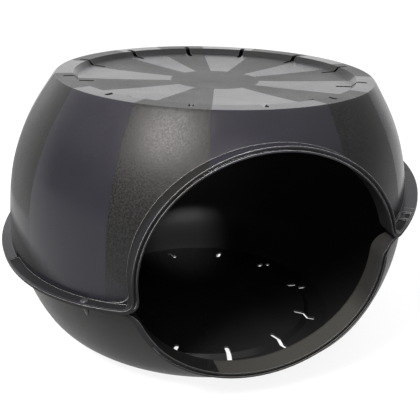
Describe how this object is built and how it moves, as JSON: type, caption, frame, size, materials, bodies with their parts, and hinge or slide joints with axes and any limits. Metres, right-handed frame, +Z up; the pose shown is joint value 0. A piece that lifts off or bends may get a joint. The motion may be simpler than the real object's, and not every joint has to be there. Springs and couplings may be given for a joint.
{
  "type": "cat house",
  "caption": "Round plastic cat house of two bulging bowl shells that meet at a slanted flange, with a large round entrance and radial slots in both end discs.",
  "frame": {"origin": "on the plane that the house stands on, in the middle of its outline seen from above", "axes": "+Z up along the axis of the two bowls, -Y out through the entrance, +X to the side where the flange is higher"},
  "size_m": [0.5356, 0.5012, 0.331],
  "materials": {
    "upper_plastic": "satin, fine grain on the end disc and smooth wedges",
    "lower_plastic": "satin",
    "rivet_plastic": "satin"
  },
  "bodies": {
    "root": {"upper_shell": "upper_plastic", "lower_shell": "lower_plastic", "push_rivets": "rivet_plastic"}
  },
  "joints": []
}
